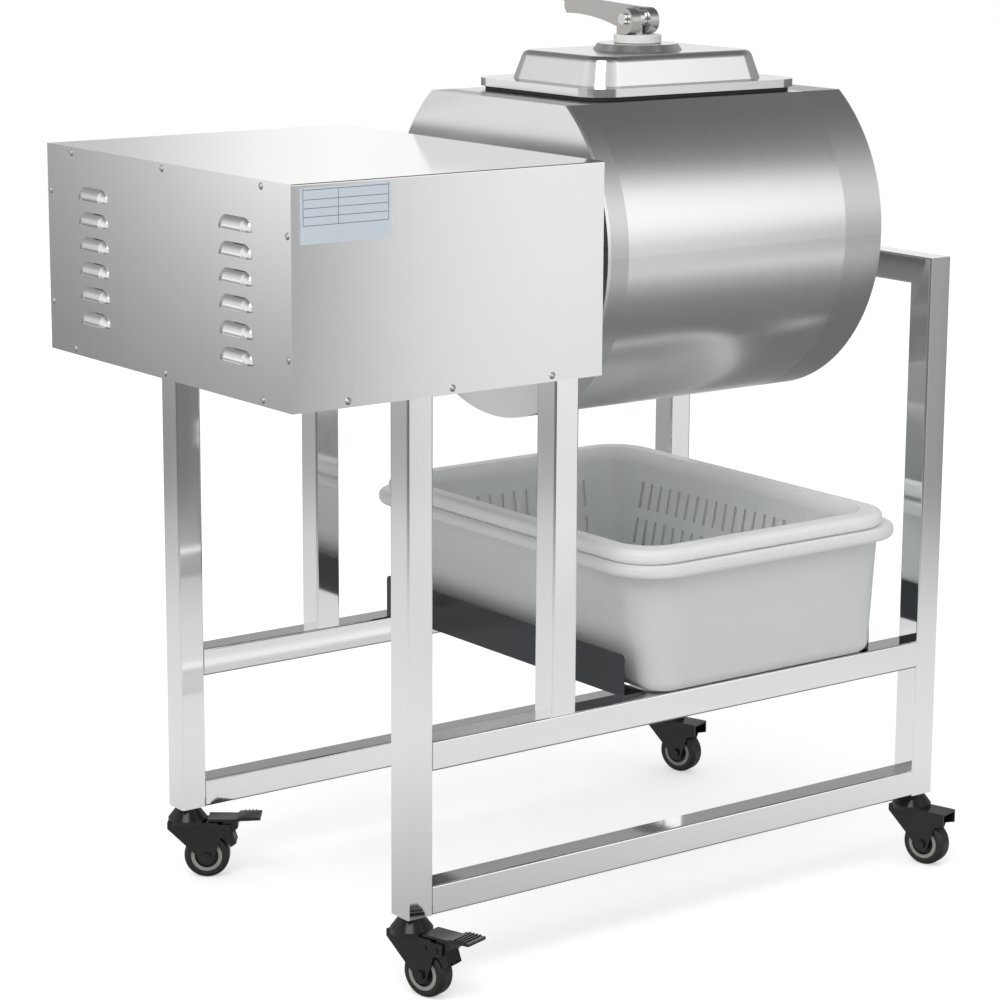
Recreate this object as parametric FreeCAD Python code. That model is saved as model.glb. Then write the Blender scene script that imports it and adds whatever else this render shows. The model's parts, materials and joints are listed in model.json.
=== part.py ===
"""Meat vacuum tumbler: a belt-driven drum on a wheeled square-tube frame, with a tub and basket below it.

Millimetres, +Z up. +X runs along the drum's axis from the drive housing to the far bearing, +Y to the back.
Sub-parts are built about the middle of the frame at floor level, with the drum's axis in the plane y = 0,
and place_node() moves each one back a little so that the origin is the middle of the whole footprint.
"""
import FreeCAD, Part
import math
import os

from FreeCAD import Vector

# ---------------------------------------------------------------- driving dimensions
# Frame of square tube
tube_side = 30.0
tube_wall = 1.5
tube_corner = 2.0
frame_length = 716.0  # outside the left legs to outside the right legs
frame_depth = 458.0
mid_leg_offset = 177.5  # left face of the left legs to left face of the middle legs
leg_height = 521.8  # under the housing
right_leg_height = 603.5
mid_beam_height = 148.5  # bottom of the middle beams above the foot of the legs

# Casters
caster_height = 80.0  # floor to foot of the legs
wheel_radius = 25.0
wheel_width = 20.0
tyre_depth = 8.0
hub_face_recess = 2.5
trail = 21.0
fork_inside = 23.0
fork_plate = 2.2
axle_radius = 3.0
swivel_cap_radius = 21.5
stem_radius = 5.0
stem_length = 32.0
wheel_bore_fit = 0.05
stem_fit = 0.08
front_left_yaw = -73.0  # which way each wheel trails, from +X
back_left_yaw = -37.0
front_right_yaw = -74.0
back_right_yaw = -72.0
pedal_reach = 81.0
pedal_width = 26.0
pedal_plate = 2.5
brake_gap = 3.6
fork_clear = 12.0  # over the wheel
fork_eye_radius = 9.0
fork_shoulder = 5.0
fork_nose = 8.0  # beyond the pedal's pivot
raceway_height = 3.0
raceway_taper = 0.62
raceway_gap = 2.0  # under the leg
axle_nut_radius = 5.0
axle_nut_height = 3.0
rivet_radius = 3.0
rivet_height = 1.0
rivet_pitch = 14.0
hub_lip = 4.5
hub_boss_radius = 6.5
tyre_round = 5.0
stem_collar_radius = 11.0
stem_collar_height = 1.5
stem_plug_share = 0.8  # of the stem's length
pivot_reach = 19.0  # axle to the pedal's pivot
pivot_drop = 8.0
pedal_lift = 1.5  # over the fork
pedal_back = 17.0  # behind the pivot
pedal_front = 17.0
pedal_flare = 1.0
pedal_tip = 5.0
pedal_ribs = 4
pedal_rib_pitch = 4.0
pedal_rib_width = 1.5
pedal_rib_height = 1.8
pedal_fit = 0.6
shoe_slot_width = 4.0
shoe_slot_pitch = 9.0

# Drive housing
box_overhang = 130.0  # housing beyond the left legs
housing_length = 365.5
housing_height = 212.7
sheet = 1.2
floor_sheet = 2.0
lip_width = 14.0
housing_bend = 1.5
screw_head_radius = 3.6
screw_head_height = 1.6
screw_inset = 6.0
screw_cross = 4.0
screw_spread = 178.6  # from the middle of the side panel to its end screws
screw_low = 50.0  # the side panel's edge screws above its foot
screw_high = 164.8
front_screw_pitch = 120.6
rating_plate_inset = 10.0
rating_plate_drop = 4.0
rating_plate_length = 101.0
rating_plate_height = 52.0
rating_plate_thickness = 0.6

# Louvres, as hoods that open downwards
louvre_rows = 6
louvre_pitch = 25.2
louvre_length = 57.0
louvre_height = 13.0
louvre_reach = 5.0
louvre_bulge_out = 0.86  # how full the hood's section is, as shares of its reach and height
louvre_bulge_up = 0.55
louvre_slit_drop = 4.5  # top of the hood to the top of the slit behind it
louvre_top_drop = 38.0  # top of the housing to the top of the first hood
louvre_front_inset = 67.5  # front of the housing to the front row of hoods
louvre_back_inset = 65.5

# Drum
bearing_centre_height = 26.0
drum_gap = 38.7  # housing to drum
drum_length = 376.0
drum_radius = 188.5
flat_height = 148.6  # drum axis to the flat on top
drum_wall = 2.0
drum_end_plate = 2.0
mouth_length = 226.0
mouth_width = 150.0
mouth_corner = 26.0
collar_wall = 1.5
collar_depth = 25.0
baffle_count = 3
baffle_height = 28.0
baffle_width = 34.0
baffle_length = 300.0
baffle_corner = 8.0
baffle_wall = 1.5
left_shaft_radius = 15.0
left_shaft_bore = 6.0
right_shaft_radius = 10.0
hub_radius = 45.0
hub_thickness = 8.0
shaft_fit = 0.05
right_bearing_length = 84.0
right_bearing_width = 22.0
right_bearing_base = 8.0
right_bearing_ring = 20.0
left_bearing_radius = 33.0
left_bearing_thickness = 16.0
left_bearing_flange = 12.0
left_bearing_flange_thickness = 6.0
wall_hole_clear = 3.0
shaft_past_pulley = 8.0
shaft_past_bearing = 6.0
bearing_bolt_radius = 5.5
bearing_bolt_height = 5.0
bearing_bolt_inset = 10.0

# Lid and its clamp
lid_length = 286.0
lid_width = 215.0
lid_corner = 28.0
lid_sheet = 1.2
lip_height = 8.5
lip_clear = 4.5  # flat to the lower edge of the lip
dome_inset = 25.0
dome_height = 30.0
dome_taper = 9.0
dome_round = 9.0
boss_radius = 43.0
boss_flare = 5.0
boss_height = 7.0
gasket_inset = 3.0
gasket_width = 17.0
seal_gap = 0.3
washer_radius = 25.5
washer_thickness = 8.7
rod_radius = 6.0
rod_clear = 0.3
bar_length = 190.0
bar_width = 24.0
bar_thickness = 10.0
bar_gap = 0.5
rod_nut_radius = 9.5
rod_nut_height = 6.0
rod_eye_radius = 9.0
rod_eye_clear = 0.5  # each side in the lever's slot
washer_round = 1.0
cam_radius = 14.0
cam_offset = 2.5
cam_width = 37.0
cam_slot = 13.0
lever_pin_radius = 4.0
lever_pin_fit = 0.08
lever_pin_past = 3.0  # beyond the cheeks
pin_cap_radius = 6.0
pin_cap_height = 3.5
pin_cap_clear = 0.5
heel_past = 1.0  # heel short of the cam's radius
roof_overhang = 1.0
handle_nose = 9.0  # lower corner back from the tip
handle_lip = 5.0
handle_root = 4.0
handle_sag = 1.5
hollow_start = 6.0
slot_past = 3.0
lever_reach = 119.0
lever_width = 22.0
lever_plate = 3.5
lever_depth = 17.0
lever_web = 3.0
lever_rise = 3.0  # degrees

# Tub, basket and the rails under them
rail_thickness = 1.5
rail_height = 44.5
rail_foot = 30.0
rail_length = 427.0
rail_spacing = 345.5  # between the outer faces
rail_shift = -8.0  # rails left of the tub's middle
rail_corner = 5.0
tub_base_length = 310.0
tub_base_width = 476.0
tub_top_length = 355.0
tub_top_width = 480.0
tub_rim = 14.0
tub_rim_height = 14.0
tub_height = 140.0
tub_wall = 2.5
tub_corner = 28.0
tub_top_corner = 52.0
tub_foot_round = 12.0
tub_rim_sheet = 3.0
tub_rim_skirt = 2.5
rim_round_share = 0.42
basket_base_length = 284.0
basket_base_width = 408.0
basket_top_length = 328.0
basket_top_width = 444.0
basket_rim = 18.0
basket_rim_height = 16.0
basket_depth = 122.0
basket_wall = 2.5
basket_corner = 34.0
basket_corner_growth = 8.0
basket_shift_x = -8.0
basket_shift_y = -9.0
slot_width = 5.0
slot_height = 30.0
slot_pitch = 16.0
slot_rows = 2
slot_row_gap = 12.0
slot_lift = 14.0
slot_end_clear = 5.0  # from the rounded corners
slot_through = 60.0
rest_gap = 0.3

# Drive inside the housing
drum_pulley_radius = 70.0
motor_pulley_radius = 25.0
pulley_width = 16.0
pulley_flange = 3.0
belt_width = 12.0
belt_thickness = 5.0
belt_gap = 0.3
belt_inset = 46.0  # inner wall to the middle of the belt
motor_offset = 118.0  # motor shaft in front of the drum axis
motor_drop = 18.0
motor_radius = 52.0
motor_length = 120.0
gearbox_side = 96.0
gearbox_length = 62.0
motor_shaft_radius = 9.0
motor_shaft_past = 4.0
motor_round = 8.0
gearbox_gap = 6.0  # to the pulley
gearbox_round = 6.0
gearbox_foot = 8.0
gearbox_foot_past = 10.0
gearbox_web = 57.6
gearbox_web_inset = 8.0
pump_length = 150.0
pump_radius = 42.0
pump_offset = 130.0
pump_from_wall = 190.0
pump_head_side = 60.0
pump_head_height = 12.0
pump_foot = 6.0
pump_foot_inset = 15.0
pump_cradle = 58.8
pump_head_inset = 10.0
rotary_joint_radius = 14.0
rotary_joint_length = 42.0
spigot_length = 14.0
spigot_clear = 0.5
pipe_seat = 1.0
pipe_radius = 4.0
pipe_bend = 18.0
pipe_rise = 45.0  # above the drum axis

# Controls on the back
switch_length = 30.0
switch_height = 22.0
switch_bezel = 2.0
switch_rim = 3.0
switch_floor = 0.4
switch_corner = 2.0
rocker_tilt = 9.0
rocker_top = 3.0  # in front of the housing's back face
rocker_pivot = 1.2
rocker_dish = 2.3
rocker_edge = 0.4
rocker_end_clear = 1.2
rocker_pin_radius = 0.6
rocker_pin_fit = 0.05
rocker_pin_past = 1.6
knob_radius = 17.0
knob_height = 15.0
knob_shaft_radius = 3.0
knob_gap = 1.0
knob_round = 1.5
pointer_width = 2.4
pointer_rise = 0.8
pointer_start = 5.1
gauge_radius = 27.0
gauge_depth = 12.0
gauge_glass_depth = 3.0
gauge_rim = 3.0
needle_width = 1.2
needle_tail = 4.0
needle_length = 18.9
needle_thickness = 1.0
inlet_length = 31.0
inlet_height = 24.0
inlet_depth = 4.0
inlet_floor = 1.5
inlet_rim = 3.5
inlet_corner = 3.0
control_neck = 8.0
rocker_neck = 7.0
neck_length = 14.0
control_end_inset = 60.0
control_row = 150.0  # above the housing's floor
control_fit = 0.3

# ---------------------------------------------------------------- places that follow from them
overall_length = box_overhang + frame_length
housing_x0 = -overall_length / 2
housing_x1 = housing_x0 + housing_length
left_legs_x0 = housing_x0 + box_overhang
mid_legs_x0 = left_legs_x0 + mid_leg_offset
right_legs_x0 = left_legs_x0 + frame_length - tube_side
frame_y0 = -frame_depth / 2
frame_y1 = frame_depth / 2
legs_z0 = caster_height
housing_z0 = legs_z0 + leg_height
housing_z1 = housing_z0 + housing_height
right_top_z1 = legs_z0 + right_leg_height
axis_z = right_top_z1 + bearing_centre_height
drum_x0 = housing_x1 + drum_gap
drum_x1 = drum_x0 + drum_length
drum_mid_x = (drum_x0 + drum_x1) / 2
flat_z = axis_z + flat_height
beam_top_z = legs_z0 + mid_beam_height + tube_side
lid_lip_z = flat_z + lip_clear
lid_flange_z = lid_lip_z + lip_height
dome_z = lid_flange_z + dome_height
boss_z = dome_z + boss_height
washer_z = boss_z + seal_gap
lever_pin_z = washer_z + washer_thickness + seal_gap + cam_radius + cam_offset
collar_z0 = flat_z - drum_wall - collar_depth
bar_top_z = collar_z0 - bar_gap
footprint_shift = 18.0  # the brake pedals reach further in front than the controls do behind

os.makedirs("parts", exist_ok=True)


# ---------------------------------------------------------------- helpers
def block(x0, x1, y0, y1, z0, z1):
    return Part.makeBox(x1 - x0, y1 - y0, z1 - z0, Vector(x0, y0, z0))


def rod(start, direction, radius, length):
    return Part.makeCylinder(radius, length, Vector(*start), Vector(*direction))


def fuse(shapes):
    first, *others = shapes
    return first.multiFuse(others).removeSplitter() if others else first


def rounded_rectangle(length, width, corner, centre=(0, 0), z=0.0):
    """A closed wire in a level plane: straight sides joined by quarter circles."""
    radius = max(0.05, min(corner, length / 2 - 0.05, width / 2 - 0.05))
    half_x, half_y = length / 2 - radius, width / 2 - radius
    edges = []
    for turn in range(4):
        angle = math.radians(90 * turn)
        sign_x = 1 if turn in (0, 3) else -1
        sign_y = 1 if turn in (0, 1) else -1
        middle = Vector(centre[0] + sign_x * half_x, centre[1] + sign_y * half_y, z)
        points = [
            middle + Vector(math.cos(angle + step), math.sin(angle + step), 0) * radius
            for step in (0, math.pi / 4, math.pi / 2)
        ]
        if edges:
            edges.append(Part.LineSegment(edges[-1].lastVertex().Point, points[0]).toShape())
        edges.append(Part.Arc(*points).toShape())
    edges.append(
        Part.LineSegment(edges[-1].lastVertex().Point, edges[0].firstVertex().Point).toShape()
    )
    return Part.Wire(edges)


def plate(length, width, corner, z0, z1, centre=(0, 0)):
    """A level plate with rounded corners."""
    face = Part.Face(rounded_rectangle(length, width, corner, centre, z0))
    return face.extrude(Vector(0, 0, z1 - z0))


def taper(low, high, z0, z1, centre=(0, 0)):
    """A solid between two rounded rectangles, each given as (length, width, corner)."""
    wires = [rounded_rectangle(*low, centre, z0), rounded_rectangle(*high, centre, z1)]
    return Part.makeLoft(wires, True, True)


def upright(shape, turns):
    """Turn a shape that was drawn level, by (angle, axis) steps about the origin."""
    for angle, axis in turns:
        shape = shape.rotate(Vector(0, 0, 0), Vector(*axis), angle)
    return shape


def outline(points, depth, normal):
    """Extrude a closed outline of points by depth along normal."""
    wire = Part.makePolygon([Vector(*p) for p in points] + [Vector(*points[0])])
    return Part.Face(wire).extrude(Vector(*normal) * depth)


def round_edges(shape, radius, wanted):
    """Fillet the edges that wanted(edge) picks."""
    edges = [edge for edge in shape.Edges if wanted(edge)]
    return shape.makeFillet(radius, edges) if edges else shape


def along(edge, axis):
    """Whether a straight edge runs along the axis 0, 1 or 2."""
    if edge.Curve.TypeId != "Part::GeomLine":
        return False
    start, end = (vertex.Point for vertex in edge.Vertexes[:2])
    step = [abs(end[i] - start[i]) for i in range(3)]
    return step[axis] > 1e-6 and sum(step) - step[axis] < 1e-6


def square_tube(x0, x1, y0, y1, z0, z1, axis):
    """Hollow square tube that fills the box and runs along the axis 0, 1 or 2."""
    outer = block(x0, x1, y0, y1, z0, z1)
    outer = round_edges(outer, tube_corner, lambda edge: along(edge, axis))
    low, high = [x0, y0, z0], [x1, y1, z1]
    for i in range(3):
        if i != axis:
            low[i] += tube_wall
            high[i] -= tube_wall
    return outer.cut(block(low[0], high[0], low[1], high[1], low[2], high[2]))


def drum_form(radius, flat, x0, x1):
    """A round bar along the drum's axis with a flat on top."""
    bar = rod((x0, 0, axis_z), (1, 0, 0), radius, x1 - x0)
    return bar.common(block(x0, x1, -radius, radius, axis_z - radius, axis_z + flat))


def bent_pipe(route, radius, bend):
    """Round bar along straight runs joined by arcs of one radius at right-angled corners."""
    edges, start = [], route[0]
    for before, corner, after in zip(route, route[1:], route[2:]):
        way_in = (corner - before).normalize()
        way_out = (after - corner).normalize()
        arc_in, arc_out = corner - way_in * bend, corner + way_out * bend
        inward = (way_out - way_in) * (1 - math.sqrt(0.5)) * bend
        edges.append(Part.LineSegment(start, arc_in).toShape())
        edges.append(Part.Arc(arc_in, corner + inward, arc_out).toShape())
        start = arc_out
    edges.append(Part.LineSegment(start, route[-1]).toShape())
    section = Part.Wire(Part.makeCircle(radius, route[0], route[1] - route[0]))
    return Part.Wire(edges).makePipeShell([section], True, True)


def domed_screw(radius, height, cross):
    """Pan head that rises along +Z from the origin, with a cross recess."""
    sphere_radius = (radius**2 + height**2) / (2 * height)
    ball = Part.makeSphere(sphere_radius, Vector(0, 0, height - sphere_radius))
    head = ball.common(block(-radius, radius, -radius, radius, 0, height))
    for length, width in ((cross, cross / 4), (cross / 4, cross)):
        half = (length / 2, width / 2)
        head = head.cut(block(-half[0], half[0], -half[1], half[1], height * 0.45, height * 2))
    return head


nodes = {}


def add(name, *solids):
    nodes[name] = list(solids)


# ---------------------------------------------------------------- frame
def front_and_back():
    """The y range of the front row of tubes, then of the back row."""
    return ((frame_y0, frame_y0 + tube_side), (frame_y1 - tube_side, frame_y1))


def make_legs():
    for name, x0 in (("left_legs", left_legs_x0), ("mid_legs", mid_legs_x0)):
        z0 = legs_z0 if name == "left_legs" else beam_top_z
        legs = [
            square_tube(x0, x0 + tube_side, y0, y1, z0, housing_z0, 2)
            for y0, y1 in front_and_back()
        ]
        add(name, *legs)


def make_right_frame():
    """Right legs and the cross beam on top of them, mitred where they meet."""
    x0, x1 = right_legs_x0, right_legs_x0 + tube_side
    z0, z1 = right_top_z1 - tube_side, right_top_z1
    legs = []
    beam = square_tube(x0, x1, frame_y0, frame_y1, z0, z1, 1)
    for (y0, y1), side in zip(front_and_back(), (1, -1)):
        outer, inner = (y0, y1) if side == 1 else (y1, y0)
        corner = [(x0, outer, z1), (x0, outer, z0), (x0, inner, z0)]
        wedge = outline(corner, tube_side, (1, 0, 0))
        beam = beam.cut(wedge)
        leg = square_tube(x0, x1, y0, y1, legs_z0, z1, 2)
        top = outline([(x0, outer, z1), (x0, inner, z1), (x0, inner, z0)], tube_side, (1, 0, 0))
        legs.append(leg.cut(top))
    add("right_legs", *legs)
    add("right_top_beam", beam)


def make_beams():
    x0, x1 = left_legs_x0 + tube_side, right_legs_x0
    low, mid = [], []
    for y0, y1 in front_and_back():
        low.append(square_tube(x0, x1, y0, y1, legs_z0, legs_z0 + tube_side, 0))
        mid.append(square_tube(x0, x1, y0, y1, beam_top_z - tube_side, beam_top_z, 0))
    add("lower_beams", *low)
    add("mid_beams", *mid)


def make_rails():
    """Two angles across the middle beams that guide the tub."""
    middle = drum_mid_x + rail_shift
    rails = []
    for side in (-1, 1):
        outer = middle + side * rail_spacing / 2
        xs = sorted((outer, outer - side * rail_thickness))
        foot = sorted((outer, outer - side * rail_foot))
        half = rail_length / 2
        wall = block(*xs, -half, half, beam_top_z, beam_top_z + rail_height)
        top = beam_top_z + rail_height
        wall = round_edges(
            wall, rail_corner, lambda edge: along(edge, 0) and edge.BoundBox.ZMin > top - 1
        )
        base = block(*foot, -half, half, beam_top_z, beam_top_z + rail_thickness)
        rails.append(fuse([wall, base]))
    add("rails", *rails)


# ---------------------------------------------------------------- casters
def caster_place(x, y, yaw):
    """Move a caster drawn at the origin, trailing along +X, under its leg."""

    def place(shape):
        turned = shape.rotate(Vector(0, 0, 0), Vector(0, 0, 1), yaw)
        return turned.translate(Vector(x, y, 0))

    return place


fork_top = 2 * wheel_radius + fork_clear
pivot_u = trail + pivot_reach
pivot_z = fork_top - pivot_drop
nose_u = pivot_u + fork_nose


def fork_side(y0):
    """One cheek of the fork: wide at the swivel, narrowing to the axle."""
    points = [
        (-swivel_cap_radius, y0, fork_top),
        (-swivel_cap_radius, y0, fork_top - fork_shoulder),
        (trail - fork_eye_radius, y0, wheel_radius),
        (trail + fork_eye_radius, y0, wheel_radius),
        (pivot_u - rivet_radius, y0, fork_top - 3 * fork_shoulder),
        (nose_u, y0, pivot_z - fork_shoulder + 1),
        (nose_u, y0, fork_top),
    ]
    cheek = outline(points, fork_plate, (0, 1, 0))
    return cheek.fuse(rod((trail, y0, wheel_radius), (0, 1, 0), fork_eye_radius, fork_plate))


def make_fork(braked):
    """Cheeks, top plate, domed raceway and axle bolt, with brake rivets on a braked one."""
    half = fork_inside / 2
    outside = half + fork_plate
    plate_end = pivot_u - 2 * rivet_radius if braked else nose_u
    solids = [fork_side(half), fork_side(-outside)]
    top = block(-swivel_cap_radius, plate_end, -outside, outside, fork_top, fork_top + fork_plate)
    cone_z = fork_top + fork_plate + raceway_height
    disc = rod((0, 0, fork_top), (0, 0, 1), swivel_cap_radius, cone_z - fork_top)
    cone = Part.makeCone(swivel_cap_radius, swivel_cap_radius * raceway_taper,
                         caster_height - cone_z - raceway_gap, Vector(0, 0, cone_z))
    solids += [top, disc, cone]
    solids.append(rod((trail, -outside, wheel_radius), (0, 1, 0), axle_radius, 2 * outside))
    for y, direction in ((outside, 1), (-outside, -1)):
        solids.append(rod((trail, y, wheel_radius), (0, direction, 0), axle_nut_radius,
                          axle_nut_height))
        if braked:
            for u in (pivot_u, pivot_u - rivet_pitch):
                solids.append(rod((u, y, pivot_z), (0, direction, 0), rivet_radius, rivet_height))
    body = fuse(solids)
    return body.cut(rod((0, 0, fork_top - 1), (0, 0, 1), stem_radius + stem_fit, caster_height))


def make_wheel():
    """Hub and tyre about the axle."""
    half = wheel_width / 2
    start = (trail, -half, wheel_radius)
    rim_radius = wheel_radius - tyre_depth
    tyre = rod(start, (0, 1, 0), wheel_radius, wheel_width)
    tyre = round_edges(tyre, tyre_round, lambda e: e.Curve.TypeId == "Part::GeomCircle")
    tyre = tyre.cut(rod(start, (0, 1, 0), rim_radius, wheel_width))
    hub = rod(start, (0, 1, 0), rim_radius, wheel_width)
    for y in (-half, half - hub_face_recess):
        face = (trail, y, wheel_radius)
        ring = rod(face, (0, 1, 0), rim_radius - hub_lip, hub_face_recess)
        hub = hub.cut(ring.cut(rod(face, (0, 1, 0), hub_boss_radius, hub_face_recess)))
    hub = hub.cut(rod(start, (0, 1, 0), axle_radius + wheel_bore_fit, wheel_width))
    return hub, tyre


def make_pedal():
    """Foot pedal that turns on the brake rivet, with a shoe behind the wheel."""
    half = pedal_width / 2
    flared = half + pedal_flare
    plate_z = fork_top + fork_plate + pedal_lift
    top_z = plate_z + pedal_plate
    step = pivot_u + pedal_front
    top = block(pivot_u - pedal_back, step, -half, half, plate_z, top_z)
    tongue = outline(
        [(step - 4, -flared, plate_z + 0.5), (pedal_reach, -flared, top_z - 0.5),
         (pedal_reach, -flared, plate_z + pedal_tip), (step, -flared, top_z + 2)],
        2 * flared, (0, 1, 0))
    ribs = []
    for i in range(pedal_ribs):
        u = step + pedal_tip + pedal_rib_pitch * i
        ribs.append(block(u, u + pedal_rib_width, -flared, flared, plate_z + 4,
                          plate_z + 4 + pedal_rib_height))
    inside = fork_inside / 2 - pedal_fit
    arm = outline(
        [(pivot_u - 5, -inside, pivot_z - 4), (pivot_u - 5, -inside, pivot_z + 3),
         (pivot_u + 1, -inside, plate_z + 1), (step - 1, -inside, plate_z + 1),
         (step - 1, -inside, pivot_z + 4), (pivot_u + 10, -inside, pivot_z - 2),
         (pivot_u + 14, -inside, pivot_z - 14), (pivot_u + 6, -inside, pivot_z - 20),
         (pivot_u - 2, -inside, pivot_z - 8)],
        2 * inside, (0, 1, 0))
    keep_off = rod((trail, -fork_inside, wheel_radius), (0, 1, 0), wheel_radius + brake_gap,
                   2 * fork_inside)
    arm = arm.cut(keep_off)
    slots = []
    for side in (-1, 1):
        y = side * shoe_slot_pitch / 2 - shoe_slot_width / 2
        slots.append(outline(
            [(pivot_u + 14, y, pivot_z - 12), (pivot_u + 14, y, pivot_z - 16),
             (pivot_u + 8, y, pivot_z - 18), (pivot_u + 8, y, pivot_z - 12)],
            shoe_slot_width, (0, 1, 0)))
    body = fuse([top, tongue, arm] + ribs)
    return body.cut(Part.makeCompound(slots))


def make_casters():
    near = tube_side / 2
    left_x, right_x = left_legs_x0 + near, right_legs_x0 + near
    front_y, back_y = frame_y0 + near, frame_y1 - near
    corners = {
        "front_left": (left_x, front_y, front_left_yaw, True),
        "back_left": (left_x, back_y, back_left_yaw, True),
        "front_right": (right_x, front_y, front_right_yaw, False),
        "back_right": (right_x, back_y, back_right_yaw, False),
    }
    stems = []
    for name, (x, y, yaw, braked) in corners.items():
        place = caster_place(x, y, yaw)
        hub, tyre = make_wheel()
        add(name + "_fork", place(make_fork(braked)))
        add(name + "_hub", place(hub))
        add(name + "_tyre", place(tyre))
        if braked:
            add(name + "_pedal", place(make_pedal()))
        bottom = fork_top + fork_plate + raceway_height / 3
        stem = rod((x, y, bottom), (0, 0, 1), stem_radius, legs_z0 + stem_length - bottom)
        inner = tube_side - 2 * tube_wall
        plug_z1 = legs_z0 + stem_length * stem_plug_share
        plug = plate(inner, inner, tube_corner / 4, legs_z0, plug_z1, (x, y))
        collar = rod((x, y, legs_z0 - stem_collar_height), (0, 0, 1), stem_collar_radius,
                     stem_collar_height)
        stems.append(fuse([stem, plug, collar]))
    add("caster_stems", *stems)


# ---------------------------------------------------------------- drive housing
def make_cover():
    """Front, top and back in one folded sheet, with lips for the screws at the open left end."""
    x0, x1 = housing_x0 + sheet, housing_x1
    outer = block(x0, x1, frame_y0, frame_y1, housing_z0, housing_z1)
    outer = round_edges(
        outer, housing_bend, lambda edge: along(edge, 0) and edge.BoundBox.ZMin > housing_z1 - 1
    )
    inner = block(x0 - 1, x1 + 1, frame_y0 + sheet, frame_y1 - sheet, housing_z0 - 1,
                  housing_z1 - sheet)
    lips = block(x0, x0 + sheet, frame_y0 + sheet, frame_y1 - sheet, housing_z0 + floor_sheet,
                 housing_z1 - sheet)
    lips = lips.cut(block(x0, x0 + sheet, frame_y0 + lip_width, frame_y1 - lip_width,
                          housing_z0, housing_z1 - lip_width))
    cover = outer.cut(inner).fuse(lips)
    for x, hole in control_places().values():
        cover = cover.cut(rod((x, frame_y1 - 2 * sheet, housing_z0 + control_row), (0, 1, 0), hole,
                              4 * sheet))
    add("housing_cover", cover.removeSplitter())


def control_places():
    """For each control on the back face, its x and the hole for its neck."""
    reach = housing_length / 2 - control_end_inset
    holes = {"power_inlet": control_neck, "rocker": rocker_neck,
             "knob": knob_shaft_radius + control_fit, "gauge": control_neck}
    middle, count = (housing_x0 + housing_x1) / 2, len(holes) - 1
    return {
        name: (middle + reach - 2 * reach * i / count, hole)
        for i, (name, hole) in enumerate(holes.items())
    }


def make_floor():
    """Folded pan on top of the legs that carries the drive."""
    x0, x1 = housing_x0 + 2 * sheet, housing_x1 - sheet
    y0, y1 = frame_y0 + sheet, frame_y1 - sheet
    pan = block(x0, x1, y0, y1, housing_z0, housing_z0 + lip_width)
    inside = block(x0 - 1, x1 - sheet, y0 + sheet, y1 - sheet, housing_z0 + floor_sheet,
                   housing_z1)
    add("housing_floor", pan.cut(inside).removeSplitter())


def louvre_hood(shrink):
    """Domed hood on the panel's outer face, open along its straight lower edge, from its top left."""
    reach, height = louvre_reach - shrink, louvre_height - shrink
    foot = Vector(0, louvre_height, -louvre_height)
    tip, lip = foot + Vector(0, 0, height), foot + Vector(-reach, 0, 0)
    bulge = foot + Vector(-reach * louvre_bulge_out, 0, height * louvre_bulge_up)
    edges = [
        Part.Arc(tip, bulge, lip).toShape(),
        Part.LineSegment(lip, foot).toShape(),
        Part.LineSegment(foot, tip).toShape(),
    ]
    profile = Part.Face(Part.Wire(edges))
    run = Vector(0, louvre_length - 2 * louvre_height, 0)
    return fuse([
        profile.extrude(run),
        profile.revolve(foot, Vector(1, 0, 0), 90),
        profile.copy().translate(run).revolve(foot + run, Vector(1, 0, 0), -90),
    ])


def make_side_panel():
    x0 = housing_x0
    panel = block(x0, x0 + sheet, frame_y0, frame_y1, housing_z0, housing_z1)
    hood, hollow = louvre_hood(0), louvre_hood(sheet)
    through = block(0, 2 * sheet, louvre_height / 2, louvre_length - louvre_height / 2,
                    -louvre_height, -louvre_slit_drop)
    hoods, cuts = [], []
    fronts = (frame_y0 + louvre_front_inset, frame_y1 - louvre_back_inset - louvre_length)
    for y in fronts:
        for row in range(louvre_rows):
            spot = Vector(x0, y, housing_z1 - louvre_top_drop - row * louvre_pitch)
            hoods.append(hood.copy().translate(spot))
            cuts.append(hollow.fuse(through).translate(spot))
    panel = panel.multiFuse(hoods).cut(Part.makeCompound(cuts))
    add("side_panel", panel.removeSplitter())


def make_inner_wall():
    """Right wall of the housing, where the drum's shaft comes out."""
    x0, x1 = housing_x1 - sheet, housing_x1
    wall = block(x0, x1, frame_y0 + sheet, frame_y1 - sheet, housing_z0, housing_z1 - sheet)
    wall = wall.cut(rod((x0 - 1, 0, axis_z), (1, 0, 0), left_shaft_radius + wall_hole_clear,
                        3 * sheet))
    add("inner_wall", wall)


def make_screws():
    """Pan-head screws round the side panel and along the foot of the front and back."""
    head = domed_screw(screw_head_radius, screw_head_height, screw_cross)
    side = upright(head.copy(), [(-90, (0, 1, 0))])
    edge = frame_depth / 2 - screw_inset
    places = [(y, z) for z in (housing_z1 - screw_inset, housing_z0 + screw_inset)
              for y in (-screw_spread, 0, screw_spread)]
    places += [(y, housing_z0 + z) for y in (-edge, edge) for z in (screw_low, screw_high)]
    screws = [side.copy().translate(Vector(housing_x0, y, z)) for y, z in places]
    front = upright(head.copy(), [(90, (1, 0, 0))])
    back = upright(head.copy(), [(-90, (1, 0, 0))])
    z = housing_z0 + screw_inset
    for step in (-front_screw_pitch, 0, front_screw_pitch):
        x = (housing_x0 + housing_x1) / 2 + step
        screws.append(front.copy().translate(Vector(x, frame_y0, z)))
        screws.append(back.copy().translate(Vector(x, frame_y1, z)))
    add("housing_screws", *screws)


def make_rating_plate():
    x0 = housing_x0 + rating_plate_inset
    z1 = housing_z1 - rating_plate_drop
    add("rating_plate", block(x0, x0 + rating_plate_length, frame_y0 - rating_plate_thickness,
                              frame_y0, z1 - rating_plate_height, z1))


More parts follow.
